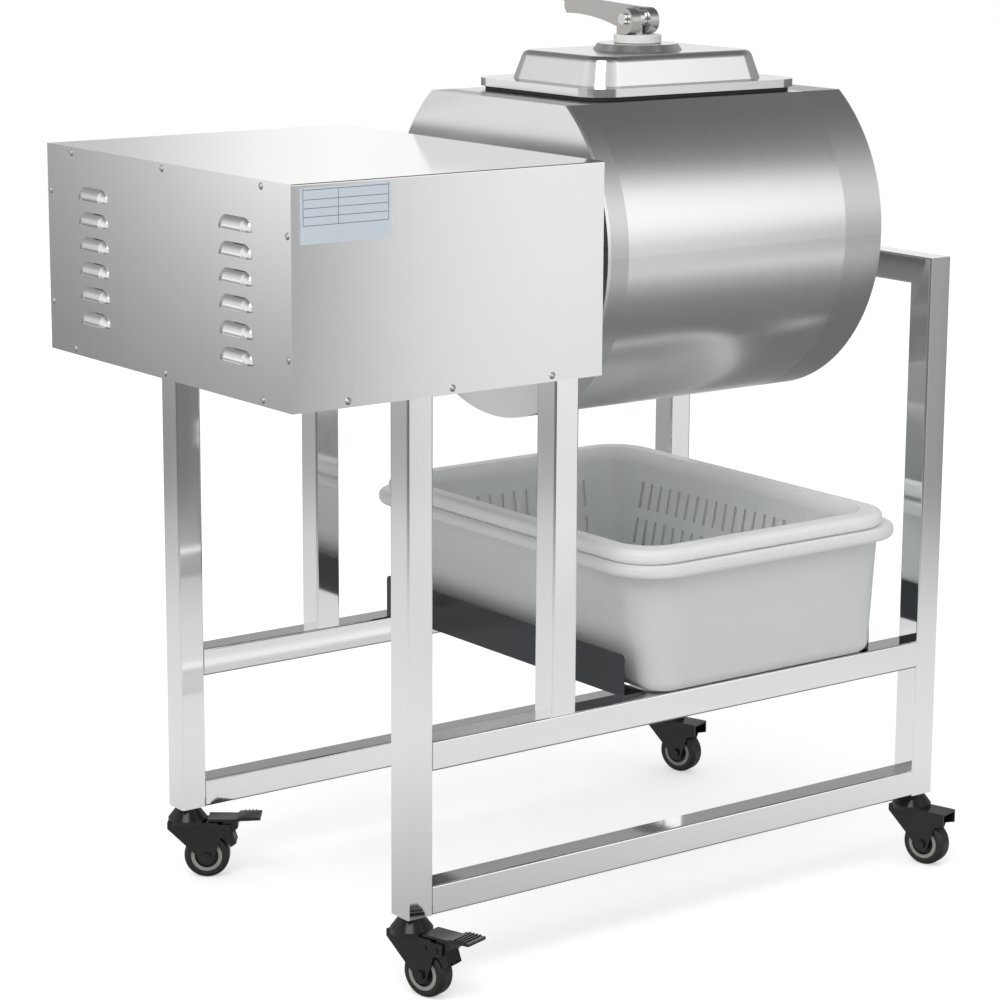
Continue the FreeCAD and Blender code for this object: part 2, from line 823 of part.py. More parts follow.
# ---------------------------------------------------------------- drive
belt_x = housing_x1 - sheet - belt_inset
motor_y = -motor_offset
motor_z = axis_z - motor_drop
shaft_left_x = belt_x - pulley_width / 2 - shaft_past_pulley


def pulley(y, z, radius, bore):
    """Flat-belt pulley with two flanges."""
    x0 = belt_x - pulley_width / 2
    wheel = rod((x0, y, z), (1, 0, 0), radius, pulley_width)
    flange = (pulley_width - belt_width) / 2 - belt_gap
    for x in (x0, x0 + pulley_width - flange):
        wheel = wheel.fuse(rod((x, y, z), (1, 0, 0), radius + pulley_flange, flange))
    return wheel.cut(rod((x0, y, z), (1, 0, 0), bore, pulley_width)).removeSplitter()


def belt_loop(extra):
    """Everything inside a belt line that clears both pulleys by extra."""
    x0 = belt_x - belt_width / 2
    large, small = drum_pulley_radius + extra, motor_pulley_radius + extra
    distance = math.hypot(motor_y, motor_z - axis_z)
    toward = math.atan2(motor_z - axis_z, motor_y)
    lean = math.acos((large - small) / distance)
    points = []
    for turn, radius, y, z in (
        (lean, large, 0, axis_z), (lean, small, motor_y, motor_z),
        (-lean, small, motor_y, motor_z), (-lean, large, 0, axis_z),
    ):
        angle = toward + turn
        points.append((x0, y + radius * math.cos(angle), z + radius * math.sin(angle)))
    straight = outline(points, belt_width, (1, 0, 0))
    return fuse([
        straight,
        rod((x0, 0, axis_z), (1, 0, 0), large, belt_width),
        rod((x0, motor_y, motor_z), (1, 0, 0), small, belt_width),
    ])


def make_drive():
    add("drum_pulley", pulley(0, axis_z, drum_pulley_radius, left_shaft_radius))
    add("motor_pulley", pulley(motor_y, motor_z, motor_pulley_radius, motor_shaft_radius + shaft_fit))
    belt = belt_loop(belt_gap + belt_thickness).cut(belt_loop(belt_gap))
    add("drive_belt", belt)
    gear_x1 = belt_x - pulley_width / 2 - gearbox_gap
    gear_x0 = gear_x1 - gearbox_length
    half = gearbox_side / 2
    floor_z = housing_z0 + floor_sheet
    gearbox = block(gear_x0, gear_x1, motor_y - half, motor_y + half, motor_z - half, motor_z + half)
    gearbox = round_edges(gearbox, gearbox_round, lambda e: along(e, 0))
    foot_half = half + gearbox_foot_past
    foot = block(gear_x0, gear_x1, motor_y - foot_half, motor_y + foot_half, floor_z,
                 floor_z + gearbox_foot)
    web = block(gear_x0 + gearbox_web_inset, gear_x1 - gearbox_web_inset,
                motor_y - gearbox_web / 2, motor_y + gearbox_web / 2, floor_z, motor_z)
    motor = rod((gear_x0 - motor_length, motor_y, motor_z), (1, 0, 0), motor_radius, motor_length)
    motor = round_edges(motor, motor_round, lambda e: e.BoundBox.XMax < gear_x0 - motor_length / 2)
    shaft_end = belt_x + pulley_width / 2 + motor_shaft_past
    shaft = rod((gear_x1, motor_y, motor_z), (1, 0, 0), motor_shaft_radius, shaft_end - gear_x1)
    add("gearmotor", fuse([gearbox, foot, web, motor, shaft]))


def make_pump():
    """Small vacuum pump on the floor, its pipe up to the rotary joint on the drum's hollow shaft."""
    floor_z = housing_z0 + floor_sheet
    x1 = housing_x1 - pump_from_wall
    x0 = x1 - pump_length
    y, z = pump_offset, floor_z + pump_foot + pump_radius
    body = rod((x0, y, z), (1, 0, 0), pump_radius, pump_length)
    seat_x0, seat_x1 = x0 + pump_foot_inset, x1 - pump_foot_inset
    foot = block(seat_x0, seat_x1, y - pump_radius, y + pump_radius, floor_z, floor_z + pump_foot)
    cradle = block(seat_x0, seat_x1, y - pump_cradle / 2, y + pump_cradle / 2, floor_z, z)
    half = pump_head_side / 2
    head_x = x1 - half - pump_head_inset
    head_top = z + pump_radius + pump_head_height / 2
    head = block(head_x - half, head_x + half, y - half, y + half, z, head_top)
    add("vacuum_pump", fuse([body, foot, cradle, head]))
    joint_x1 = shaft_left_x - rest_gap
    joint_x0 = joint_x1 - rotary_joint_length
    joint = rod((joint_x0, 0, axis_z), (1, 0, 0), rotary_joint_radius, rotary_joint_length)
    spigot = rod((joint_x1, 0, axis_z), (1, 0, 0), left_shaft_bore - spigot_clear, spigot_length)
    add("rotary_joint", fuse([joint, spigot]))
    pipe_x = joint_x0 + rotary_joint_length / 2
    level = axis_z + pipe_rise
    route = [Vector(head_x, y, head_top), Vector(head_x, y, level), Vector(pipe_x, y, level),
             Vector(pipe_x, 0, level), Vector(pipe_x, 0, axis_z + rotary_joint_radius - pipe_seat)]
    pipe = bent_pipe(route, pipe_radius, pipe_bend)
    add("vacuum_pipe", pipe.cut(joint))


# ---------------------------------------------------------------- drum
def make_drum():
    x0, x1 = drum_x0 + drum_end_plate, drum_x1 - drum_end_plate
    shell = drum_form(drum_radius, flat_height, x0, x1)
    shell = shell.cut(drum_form(drum_radius - drum_wall, flat_height - drum_wall, x0, x1))
    mouth = plate(mouth_length, mouth_width, mouth_corner, flat_z - 2 * drum_wall,
                  flat_z + drum_wall, (drum_mid_x, 0))
    add("drum_shell", shell.cut(mouth))
    add("drum_left_end", drum_form(drum_radius, flat_height, drum_x0, x0))
    add("drum_right_end", drum_form(drum_radius, flat_height, x1, drum_x1))


def make_collar():
    """Rim welded into the mouth, down into the drum, that the clamp bar catches under."""
    outer = plate(mouth_length, mouth_width, mouth_corner, collar_z0, flat_z, (drum_mid_x, 0))
    inner = plate(mouth_length - 2 * collar_wall, mouth_width - 2 * collar_wall,
                  mouth_corner - collar_wall, collar_z0, flat_z, (drum_mid_x, 0))
    add("mouth_collar", outer.cut(inner))


def make_baffles():
    """Folded paddles along the inside of the drum that lift the meat."""
    x0 = drum_mid_x - baffle_length / 2
    seat = drum_radius - drum_wall
    drop = seat - math.sqrt(seat**2 - (baffle_width / 2) ** 2)

    def channel(inset):
        half_foot, half_top = baffle_width / 2 - inset, baffle_width / 2 - baffle_corner - inset
        top = seat - drop - baffle_height + inset
        points = [(x0, -half_foot, seat), (x0, -half_top, top), (x0, half_top, top),
                  (x0, half_foot, seat)]
        return outline(points, baffle_length, (1, 0, 0))

    hollow = channel(baffle_wall)
    bore = rod((x0, 0, 0), (1, 0, 0), seat, baffle_length)
    paddle = channel(0).cut(hollow).common(bore)
    paddles = []
    for i in range(baffle_count):
        angle = 360 * (i + 1) / (baffle_count + 1)
        turned = paddle.copy().rotate(Vector(0, 0, 0), Vector(1, 0, 0), angle)
        paddles.append(turned.translate(Vector(0, 0, axis_z)))
    add("baffles", *paddles)


def make_shafts():
    length = drum_x0 - shaft_left_x
    left = rod((shaft_left_x, 0, axis_z), (1, 0, 0), left_shaft_radius, length)
    flange = rod((drum_x0 - hub_thickness, 0, axis_z), (1, 0, 0), hub_radius, hub_thickness)
    bore = rod((shaft_left_x, 0, axis_z), (1, 0, 0), left_shaft_bore, length)
    add("left_shaft", left.fuse(flange).cut(bore).removeSplitter())
    end_x = right_legs_x0 + (tube_side + right_bearing_width) / 2 + shaft_past_bearing
    right = rod((drum_x1, 0, axis_z), (1, 0, 0), right_shaft_radius, end_x - drum_x1)
    flange = rod((drum_x1, 0, axis_z), (1, 0, 0), hub_radius, hub_thickness)
    add("right_shaft", fuse([right, flange]))


def make_bearings():
    middle = right_legs_x0 + tube_side / 2
    x0, x1 = middle - right_bearing_width / 2, middle + right_bearing_width / 2
    half, base_z = right_bearing_length / 2, right_top_z1 + right_bearing_base
    foot = block(x0, x1, -half, half, right_top_z1, base_z)
    ring = rod((x0, 0, axis_z), (1, 0, 0), right_bearing_ring, right_bearing_width)
    neck = block(x0, x1, -right_bearing_ring, right_bearing_ring, right_top_z1, axis_z)
    bolts = [
        rod((middle, side * (half - bearing_bolt_inset), base_z), (0, 0, 1), bearing_bolt_radius,
            bearing_bolt_height)
        for side in (-1, 1)
    ]
    block_body = fuse([foot, ring, neck] + bolts)
    bore = rod((x0, 0, axis_z), (1, 0, 0), right_shaft_radius + shaft_fit, right_bearing_width)
    add("right_bearing", block_body.cut(bore))
    x1 = housing_x1 - sheet
    x0 = x1 - left_bearing_thickness
    flange = rod((x1 - left_bearing_flange_thickness, 0, axis_z), (1, 0, 0),
                 left_bearing_radius + left_bearing_flange, left_bearing_flange_thickness)
    ring = rod((x0, 0, axis_z), (1, 0, 0), left_bearing_radius, left_bearing_thickness)
    bore = rod((x0, 0, axis_z), (1, 0, 0), left_shaft_radius + shaft_fit, left_bearing_thickness)
    add("left_bearing", flange.fuse(ring).cut(bore).removeSplitter())


# ---------------------------------------------------------------- lid and clamp
def lid_form(inset, z0):
    """The pressed lid as a solid, smaller all round by inset, from z0 up."""
    middle = (drum_mid_x, 0)
    flange_top = lid_flange_z - inset
    flange = plate(lid_length - 2 * inset, lid_width - 2 * inset, lid_corner - inset, z0,
                   flange_top, middle)
    length = lid_length - 2 * dome_inset - 2 * inset
    width = lid_width - 2 * dome_inset - 2 * inset
    corner = lid_corner
    dome = taper((length, width, corner),
                 (length - 2 * dome_taper, width - 2 * dome_taper, corner - 4),
                 flange_top, dome_z - inset, middle)
    dome = round_edges(dome, dome_round - inset / 2,
                       lambda edge: edge.BoundBox.ZMin > dome_z - inset - 0.01)
    boss = Part.makeCone(boss_radius + boss_flare - inset, boss_radius - inset, boss_height,
                         Vector(drum_mid_x, 0, dome_z - inset))
    return fuse([flange, dome, boss])


def make_lid():
    hole = rod((drum_mid_x, 0, flat_z), (0, 0, 1), rod_radius + rod_clear, dome_height * 2)
    cover = lid_form(0, lid_lip_z).cut(lid_form(lid_sheet, lid_lip_z)).cut(hole)
    add("lid_cover", cover)
    outer_length = lid_length - 2 * lid_sheet - 2 * gasket_inset
    outer_width = lid_width - 2 * lid_sheet - 2 * gasket_inset
    z0, z1 = flat_z + seal_gap, lid_flange_z - lid_sheet
    ring = plate(outer_length, outer_width, lid_corner - gasket_inset, z0, z1, (drum_mid_x, 0))
    hollow = plate(outer_length - 2 * gasket_width, outer_width - 2 * gasket_width,
                   lid_corner - gasket_width / 2, z0, z1, (drum_mid_x, 0))
    add("lid_gasket", ring.cut(hollow))


def make_clamp():
    x = drum_mid_x
    washer = rod((x, 0, washer_z), (0, 0, 1), washer_radius, washer_thickness)
    washer = round_edges(washer, washer_round, lambda e: e.Curve.TypeId == "Part::GeomCircle")
    add("thrust_washer", washer.cut(rod((x, 0, washer_z), (0, 0, 1), rod_radius, washer_thickness)))
    bar_z0 = bar_top_z - bar_thickness
    bottom = bar_z0 - rod_nut_height
    shank = rod((x, 0, bottom), (0, 0, 1), rod_radius, lever_pin_z - bottom)
    half_eye = cam_slot / 2 - rod_eye_clear
    eye = rod((x - half_eye, 0, lever_pin_z), (1, 0, 0), rod_eye_radius, 2 * half_eye)
    nut = rod((x, 0, bottom), (0, 0, 1), rod_nut_radius, rod_nut_height)
    hole = rod((x - half_eye, 0, lever_pin_z), (1, 0, 0), lever_pin_radius, 2 * half_eye)
    add("clamp_rod", fuse([shank, eye, nut]).cut(hole))
    bar = plate(bar_length, bar_width, bar_width / 2, bar_z0, bar_top_z, (x, 0))
    add("clamp_bar", bar.cut(rod((x, 0, bar_z0), (0, 0, 1), rod_radius, bar_thickness)))
    cheek = cam_width / 2
    end = cheek + lever_pin_past
    pin = rod((x - end, 0, lever_pin_z), (1, 0, 0), lever_pin_radius, 2 * end)
    caps = [
        rod((x + side * (cheek + pin_cap_clear), 0, lever_pin_z), (side, 0, 0), pin_cap_radius,
            pin_cap_height)
        for side in (-1, 1)
    ]
    add("lever_pin", fuse([pin] + caps))


def make_lever():
    """Cam cheeks with a flat heel, a ribbed handle that reaches back, and a slot for the rod's eye."""
    x0 = drum_mid_x - cam_width / 2
    cam_z = lever_pin_z - cam_offset
    low, top = cam_z - cam_radius, cam_z + cam_radius
    cam = rod((x0, 0, cam_z), (1, 0, 0), cam_radius, cam_width)
    heel = block(x0, x0 + cam_width, 0, cam_radius - heel_past, low, top)
    tip_z = top + lever_reach * math.tan(math.radians(lever_rise))
    hx0 = drum_mid_x - lever_width / 2
    root = Vector(hx0, cam_radius - 2, low + handle_root)
    nose = Vector(hx0, lever_reach - handle_nose, tip_z - lever_depth)
    sag = Vector(hx0, lever_reach * 0.55, tip_z - lever_depth - handle_sag)
    back = [
        root, Vector(hx0, 2, top - 1), Vector(hx0, 2, top), Vector(hx0, lever_reach - handle_lip, tip_z),
        Vector(hx0, lever_reach - handle_lip, tip_z - lever_depth + handle_lip + 1), nose,
    ]
    under = Part.Wire([Part.Arc(nose, sag, root).toShape(), Part.makePolygon(back)])
    web = Part.Face(under).extrude(Vector(lever_width, 0, 0))
    roof_x0 = hx0 - roof_overhang
    roof = outline([(roof_x0, 0, top), (roof_x0, lever_reach, tip_z),
                    (roof_x0, lever_reach, tip_z - lever_plate), (roof_x0, 0, top - lever_plate)],
                   lever_width + 2 * roof_overhang, (1, 0, 0))
    hollow_x0, start = hx0 + lever_web, cam_radius + hollow_start
    hollow = outline(
        [(hollow_x0, start, low), (hollow_x0, lever_reach, low),
         (hollow_x0, lever_reach, tip_z - lever_plate), (hollow_x0, start, top - lever_plate)],
        lever_width - 2 * lever_web, (1, 0, 0))
    slot = block(drum_mid_x - cam_slot / 2, drum_mid_x + cam_slot / 2, -2 * cam_radius,
                 cam_radius - slot_past, low - 1, tip_z)
    bore = rod((x0, 0, lever_pin_z), (1, 0, 0), lever_pin_radius + lever_pin_fit, cam_width)
    lever = fuse([cam, heel, web, roof])
    add("cam_lever", lever.cut(hollow).cut(slot).cut(bore).removeSplitter())


# ---------------------------------------------------------------- tub and basket
def rolled_rim(length, width, corner, reach, height, z0, centre):
    """Band round the top of a bin, as a full solid with rounded outer edges."""
    rim = plate(length + 2 * reach, width + 2 * reach, corner + reach / 2, z0, z0 + height, centre)
    return round_edges(rim, min(reach, height) * rim_round_share,
                       lambda e: e.BoundBox.ZMax - e.BoundBox.ZMin < 1e-6)


def bin_form(base, top, z0, z1, wall, floor, centre):
    """Tapered open bin as (outside, inside) solids."""
    outside = taper(base, top, z0, z1, centre)
    slim = [tuple(size - 2 * wall for size in part[:2]) + (part[2] - wall,) for part in (base, top)]
    inside = taper(slim[0], slim[1], z0 + floor, z1, centre)
    return outside, inside


def make_tub():
    centre = (drum_mid_x, 0)
    z0 = beam_top_z + rail_thickness + rest_gap
    z1 = z0 + tub_height
    outside, inside = bin_form(
        (tub_base_length, tub_base_width, tub_corner), (tub_top_length, tub_top_width, tub_top_corner),
        z0, z1, tub_wall, tub_wall, centre)
    outside = round_edges(outside, tub_foot_round, lambda e: e.BoundBox.ZMax < z0 + 0.01)
    inside = round_edges(inside, tub_foot_round - tub_wall,
                         lambda e: e.BoundBox.ZMax < z0 + tub_wall + 0.01)
    rim = rolled_rim(tub_top_length, tub_top_width, tub_top_corner, tub_rim, tub_rim_height,
                     z1 - tub_rim_height, centre)
    across = 2 * (tub_rim - tub_rim_skirt)
    rim = rim.cut(plate(tub_top_length + across, tub_top_width + across,
                        tub_top_corner + tub_rim / 2 - tub_rim_skirt, z1 - tub_rim_height - 1,
                        z1 - tub_rim_sheet, centre))
    tub = fuse([outside, rim]).cut(inside)
    add("tub", tub)
    return z0, z1


def make_basket(tub_z0, tub_z1):
    centre = (drum_mid_x + basket_shift_x, basket_shift_y)
    z1 = tub_z1 + rest_gap + basket_rim_height
    z0 = z1 - basket_depth
    top_corner = basket_corner + basket_corner_growth
    outside, inside = bin_form(
        (basket_base_length, basket_base_width, basket_corner),
        (basket_top_length, basket_top_width, top_corner),
        z0, z1, basket_wall, basket_wall, centre)
    rim = rolled_rim(basket_top_length, basket_top_width, top_corner, basket_rim,
                     basket_rim_height, z1 - basket_rim_height, centre)
    basket = fuse([outside, rim]).cut(inside)
    low = z0 + slot_lift
    tools = []
    for row in range(slot_rows):
        z = low + row * (slot_height + slot_row_gap)
        for length, width, along_x in ((basket_base_length, basket_base_width, True),
                                       (basket_base_width, basket_base_length, False)):
            run = length - 2 * (basket_corner + slot_end_clear)
            count = int(run // slot_pitch)
            for i in range(count + 1):
                at = -run / 2 + i * run / count
                reach = width / 2 + slot_through
                half = slot_width / 2
                if along_x:
                    box = (at - half, at + half, -reach, reach)
                else:
                    box = (-reach, reach, at - half, at + half)
                tool = block(*box, z, z + slot_height)
                tools.append(tool.translate(Vector(centre[0], centre[1], 0)))
    basket = basket.cut(Part.makeCompound(tools))
    add("basket", basket)


# ---------------------------------------------------------------- controls
def make_controls():
    """Drawn level about the origin, then turned to stand on the housing's back face."""
    z = housing_z0 + control_row
    spots = control_places()

    def mount(name, where, shape):
        add(name, upright(shape, [(-90, (1, 0, 0))]).translate(Vector(spots[where][0], frame_y1, z)))

    def neck(where):
        return rod((0, 0, -neck_length), (0, 0, 1), spots[where][1] - control_fit, neck_length)

    body = plate(inlet_length, inlet_height, inlet_corner, 0, inlet_depth)
    socket = plate(inlet_length - 2 * inlet_rim, inlet_height - 2 * inlet_rim, inlet_corner,
                   inlet_floor, inlet_depth + 1)
    mount("power_inlet", "power_inlet", fuse([body, neck("power_inlet")]).cut(socket))

    hole_length, hole_height = switch_length - 2 * switch_rim, switch_height - 2 * switch_rim
    bezel = plate(switch_length, switch_height, switch_corner, 0, switch_bezel).fuse(neck("rocker"))
    bezel = bezel.cut(plate(hole_length, hole_height, switch_corner / 2, switch_floor, rocker_top))
    wide = hole_height - 2 * control_fit
    pin_half = wide / 2 + rocker_pin_past
    start = (0, -pin_half, rocker_pivot)
    bezel = bezel.cut(rod(start, (0, 1, 0), rocker_pin_radius + rocker_pin_fit, 2 * pin_half))
    mount("switch_bezel", "rocker", bezel.removeSplitter())

    long_half = hole_length / 2 - control_fit - rocker_end_clear
    end_z = rocker_top + long_half * math.tan(math.radians(rocker_tilt))
    side, foot_z = -wide / 2, rocker_top - rocker_edge
    rocker = outline(
        [(-long_half, side, end_z), (0, side, rocker_top), (long_half, side, end_z),
         (long_half, side, foot_z), (0, side, rocker_top - rocker_dish), (-long_half, side, foot_z)],
        wide, (0, 1, 0))
    rocker = rocker.fuse(rod(start, (0, 1, 0), rocker_pin_radius, 2 * pin_half)).removeSplitter()
    rocker = rocker.rotate(Vector(0, 0, rocker_pivot), Vector(0, 1, 0), rocker_tilt)
    mount("rocker_switch", "rocker", rocker)

    knob = rod((0, 0, knob_gap), (0, 0, 1), knob_radius, knob_height - knob_gap)
    knob = round_edges(knob, knob_round, lambda e: e.BoundBox.ZMin > knob_height - 0.1)
    half = pointer_width / 2
    pointer = block(-half, half, pointer_start, knob_radius + pointer_rise, knob_gap,
                    knob_height + pointer_rise)
    stalk = rod((0, 0, -neck_length), (0, 0, 1), knob_shaft_radius, neck_length + knob_gap)
    mount("timer_knob", "knob", fuse([knob, pointer, stalk]))

    case = rod((0, 0, 0), (0, 0, 1), gauge_radius, gauge_depth)
    dial_z = gauge_depth - gauge_glass_depth
    case = case.cut(rod((0, 0, dial_z), (0, 0, 1), gauge_radius - gauge_rim, gauge_depth))
    half = needle_width / 2
    needle = block(-half, half, -needle_tail, needle_length, dial_z, dial_z + needle_thickness)
    mount("vacuum_gauge", "gauge", fuse([case, needle, neck("gauge")]))


# ---------------------------------------------------------------- build and write
def make_all():
    make_legs()
    make_right_frame()
    make_beams()
    make_rails()
    make_casters()
    make_cover()
    make_floor()
    make_side_panel()
    make_inner_wall()
    make_screws()
    make_rating_plate()
    make_drive()
    make_pump()
    make_drum()
    make_collar()
    make_baffles()
    make_shafts()
    make_bearings()
    make_lid()
    make_clamp()
    make_lever()
    make_basket(*make_tub())
    make_controls()


def place_node(solids):
    """Move a node's solids to the footprint's origin and join them in one shape."""
    moved = [solid.copy().translate(Vector(0, footprint_shift, 0)) for solid in solids]
    flat = [piece for shape in moved for piece in shape.Solids]
    return flat[0] if len(flat) == 1 else Part.makeCompound(flat)


make_all()
for node_name, node_solids in nodes.items():
    place_node(node_solids).exportStep("parts/" + node_name + ".step")
    print(node_name, sum(len(s.Solids) for s in node_solids), all(s.isValid() for s in node_solids))
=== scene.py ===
import json
import math
import bmesh
import bpy
from mathutils import Matrix, Vector

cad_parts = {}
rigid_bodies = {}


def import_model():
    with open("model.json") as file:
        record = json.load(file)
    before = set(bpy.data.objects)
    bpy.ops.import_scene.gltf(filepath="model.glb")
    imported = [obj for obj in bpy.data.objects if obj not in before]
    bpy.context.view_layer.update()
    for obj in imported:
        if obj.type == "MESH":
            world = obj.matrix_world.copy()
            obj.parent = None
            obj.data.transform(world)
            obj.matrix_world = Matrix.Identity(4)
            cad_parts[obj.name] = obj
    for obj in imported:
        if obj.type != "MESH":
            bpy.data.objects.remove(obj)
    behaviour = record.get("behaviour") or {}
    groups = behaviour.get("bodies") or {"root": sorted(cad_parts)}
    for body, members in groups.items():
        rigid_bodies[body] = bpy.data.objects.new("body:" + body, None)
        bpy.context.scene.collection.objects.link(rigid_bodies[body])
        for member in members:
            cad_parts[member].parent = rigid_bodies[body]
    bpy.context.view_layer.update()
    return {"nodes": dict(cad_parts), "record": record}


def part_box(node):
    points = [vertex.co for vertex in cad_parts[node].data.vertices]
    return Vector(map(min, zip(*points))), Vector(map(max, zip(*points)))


for leftover in list(bpy.data.objects):
    bpy.data.objects.remove(leftover)

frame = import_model()
nodes = frame["nodes"]
print("frame loaded:", len(nodes), "nodes")


# ---- small kit for materials

def shade(grey, warm=0.0):
    return (grey * (1 + warm), grey, grey * (1 - warm), 1.0)


class Sum:
    # wraps a socket so that shader maths reads as plain sums
    def __init__(self, finish, socket):
        self.finish, self.socket = finish, socket

    def join(self, kind, left, right=0.0):
        return self.finish.node("Math", {"operation": kind}, {0: left, 1: right})

    def __add__(self, other):
        return self.join("ADD", self, other)

    def __sub__(self, other):
        return self.join("SUBTRACT", self, other)

    def __rsub__(self, other):
        return self.join("SUBTRACT", other, self)

    def __mul__(self, other):
        return self.join("MULTIPLY", self, other)

    def __gt__(self, other):
        return self.join("GREATER_THAN", self, other)

    def __lt__(self, other):
        return self.join("LESS_THAN", self, other)

    def __abs__(self):
        return self.join("ABSOLUTE", self)

    __radd__ = __add__
    __rmul__ = __mul__


class Finish:
    # one material or world and the nodes in it
    def __init__(self, name, owner=None, **fixed):
        self.owner = owner or bpy.data.materials.new(name)
        self.owner.use_nodes = True
        self.tree = self.owner.node_tree
        self.shader = self.tree.nodes.get("Principled BSDF")
        for socket, value in fixed.items():
            self.shader.inputs[socket.replace("_", " ")].default_value = value

    def node(self, kind, settings=None, sockets=None, output=0):
        made = self.tree.nodes.new("ShaderNode" + kind)
        for key, value in (settings or {}).items():
            if key == "stops":
                self.stops(made.color_ramp, value)
            else:
                setattr(made, key, value)
        for key, value in (sockets or {}).items():
            self.feed(made.inputs[key], value)
        return Sum(self, made.outputs[output])

    def stops(self, ramp, wanted):
        while len(ramp.elements) < len(wanted):
            ramp.elements.new(1.0)
        for element, (place, grey) in zip(ramp.elements, wanted):
            element.position = place
            element.color = shade(grey)

    def feed(self, socket, value):
        if isinstance(value, Sum):
            self.tree.links.new(value.socket, socket)
        else:
            socket.default_value = value

    def place(self, scale=(1, 1, 1)):
        here = self.node("TexCoord", output="Object")
        return self.node("Mapping", {}, {"Vector": here, "Scale": scale})

    def parts(self, vector):
        split = self.node("SeparateXYZ", {}, {0: vector}).socket.node
        return [Sum(self, split.outputs[axis]) for axis in "XYZ"]

    def noise(self, scale, detail=3.0, rough=0.5, stretch=(1, 1, 1)):
        return self.node("TexNoise", {}, {"Vector": self.place(stretch), "Scale": scale,
                                          "Detail": detail, "Roughness": rough})

    def ramp(self, factor, wanted):
        return self.node("ValToRGB", {"stops": wanted}, {"Fac": factor})

    def blend(self, factor, first, second):
        return self.node("Mix", {"data_type": "RGBA"}, {0: factor, 6: first, 7: second}, 2)

    def bump(self, height, distance):
        return self.node("Bump", {}, {"Height": height, "Distance": distance, "Strength": 1.0})

    def set(self, **links):
        for socket, value in links.items():
            self.feed(self.shader.inputs[socket.replace("_", " ")], value)
        return self.owner


# ---- finishes

finishes = {}
grain = {"cloud": 3.0, "cloudShare": 0.6, "mottle": 14.0, "roughSpread": 0.12}


def steel(name, dark, light, roughness, spread, fine, stretch, depth, warm=0.0):
    # stainless steel: fine grain drawn out one way, with slow clouds in its tone
    made = Finish(name, Metallic=1.0)
    lines = made.noise(fine, 4.0, 0.6, stretch)
    mixed = made.noise(grain["cloud"], 2.0) * grain["cloudShare"] + lines * (1 - grain["cloudShare"])
    tone = made.blend(mixed, shade(dark, warm), shade(light, warm))
    rough = lines * spread + (roughness - spread * 0.5)
    finishes[name] = made.set(Base_Color=tone, Roughness=rough, Normal=made.bump(lines, depth))


def plastic(name, dark, light, roughness, fine, depth, **fixed):
    # moulded or coated surface: faint mottling and a fine texture
    made = Finish(name, **fixed)
    mottle = made.noise(grain["mottle"])
    texture = made.noise(fine, 2.0, 0.6)
    spread = grain["roughSpread"]
    finishes[name] = made.set(Base_Color=made.blend(mottle, (*dark, 1.0), (*light, 1.0)),
                              Roughness=texture * spread + (roughness - spread / 2),
                              Normal=made.bump(texture, depth))


steel("polishedTube", 0.80, 0.92, 0.07, 0.03, 60.0, (1, 1, 0.03), 0.00001)
steel("polishedBeam", 0.80, 0.92, 0.07, 0.03, 60.0, (0.03, 1, 1), 0.00001)
steel("polishedRail", 0.80, 0.92, 0.07, 0.03, 60.0, (1, 0.03, 1), 0.00001)
steel("satinSheet", 0.78, 0.90, 0.10, 0.04, 700.0, (1, 1, 0.006), 0.000004)
steel("lidPolish", 0.72, 0.84, 0.17, 0.05, 90.0, (1, 1, 1), 0.00001)
steel("leverCast", 0.48, 0.62, 0.28, 0.1, 160.0, (1, 1, 1), 0.00006, warm=0.03)
steel("railDark", 0.05, 0.09, 0.2, 0.06, 60.0, (1, 0.03, 1), 0.00002, warm=-0.08)
steel("brightPlate", 0.66, 0.78, 0.2, 0.08, 300.0, (1, 1, 1), 0.00002)
steel("castGrey", 0.16, 0.22, 0.5, 0.1, 300.0, (1, 1, 1), 0.0001)
steel("copper", 0.45, 0.55, 0.25, 0.1, 200.0, (1, 1, 1), 0.00003, warm=0.3)
plastic("glossBlack", (0.006, 0.006, 0.007), (0.014, 0.014, 0.015), 0.22, 500.0, 0.00001)
plastic("matteBlack", (0.010, 0.010, 0.011), (0.022, 0.022, 0.022), 0.55, 900.0, 0.00004)
plastic("tyreBlack", (0.012, 0.012, 0.013), (0.026, 0.026, 0.027), 0.38, 700.0, 0.00003)
plastic("whiteNylon", (0.80, 0.80, 0.79), (0.88, 0.88, 0.87), 0.40, 600.0, 0.00002)
plastic("tubWhite", (0.90, 0.93, 0.925), (0.95, 0.98, 0.975), 0.30, 500.0, 0.00002,
        Subsurface_Weight=0.5, Subsurface_Radius=(0.02, 0.02, 0.02), Subsurface_Scale=1.0)
plastic("motorEnamel", (0.10, 0.12, 0.14), (0.14, 0.16, 0.18), 0.4, 400.0, 0.00004)
plastic("beltRubber", (0.02, 0.02, 0.02), (0.04, 0.04, 0.04), 0.7, 900.0, 0.0001)
plastic("blackPlastic", (0.012, 0.012, 0.012), (0.025, 0.025, 0.025), 0.35, 500.0, 0.00003)
plastic("redPlastic", (0.42, 0.02, 0.02), (0.52, 0.03, 0.03), 0.3, 500.0, 0.00002)


drum = {"leftBand": 0.025, "rightBand": 0.050, "weld": 0.0018, "dark": 0.74, "light": 0.90,
        "bandTone": 0.66, "bandShare": 0.7, "weldTone": 0.95, "roughness": 0.17, "spread": 0.08,
        "bandRoughness": 0.10, "fine": 900.0, "stretch": (1, 0.01, 0.01), "depth": 0.000012}


